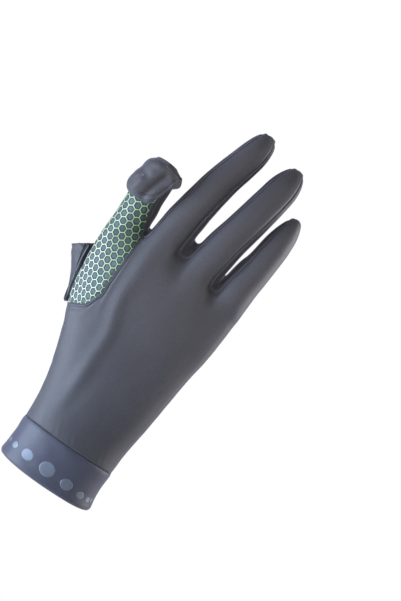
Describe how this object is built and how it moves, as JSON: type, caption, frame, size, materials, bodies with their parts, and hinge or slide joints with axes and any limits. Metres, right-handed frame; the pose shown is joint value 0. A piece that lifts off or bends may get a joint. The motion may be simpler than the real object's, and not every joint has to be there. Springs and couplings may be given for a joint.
{
  "type": "sun glove",
  "caption": "Thin stretch sun glove for the right hand, with a honeycomb index panel, open index and thumb ends whose caps are turned back, and a banded cuff.",
  "frame": {"origin": "centre of the wrist opening, at the lower edge of the cuff", "axes": "+Z from the wrist to the fingertips, the back of the hand faces -Y, the palm +Y, and the thumb lies at -X"},
  "size_m": [0.1041, 0.059, 0.2314],
  "materials": {
    "cloth": "fine smooth stretch knit, slate grey",
    "index_print": "slate knit with a raised pale green honeycomb print",
    "cuff": "doubled stretch knit, slate grey",
    "reflective_dot": "heat-bonded reflective film, grey",
    "grip_print": "translucent silicone print"
  },
  "bodies": {
    "root": {"back_panel": "cloth", "palm_panel": "cloth", "index_panel": "index_print", "fourchette_index_middle": "cloth", "fourchette_middle_ring": "cloth", "fourchette_ring_little": "cloth", "thumb_sleeve": "cloth", "cuff_band": "cuff", "index_cap": "cloth", "thumb_cap": "cloth", "cuff_dot_1": "reflective_dot", "cuff_dot_2": "reflective_dot", "cuff_dot_3": "reflective_dot", "cuff_dot_4": "reflective_dot", "cuff_dot_5": "reflective_dot", "cuff_dot_6": "reflective_dot", "cuff_dot_7": "reflective_dot", "cuff_dot_8": "reflective_dot", "grip_middle": "grip_print", "grip_ring": "grip_print", "grip_heel": "grip_print", "grip_chevron_inner": "grip_print", "grip_chevron_outer": "grip_print"}
  },
  "joints": []
}
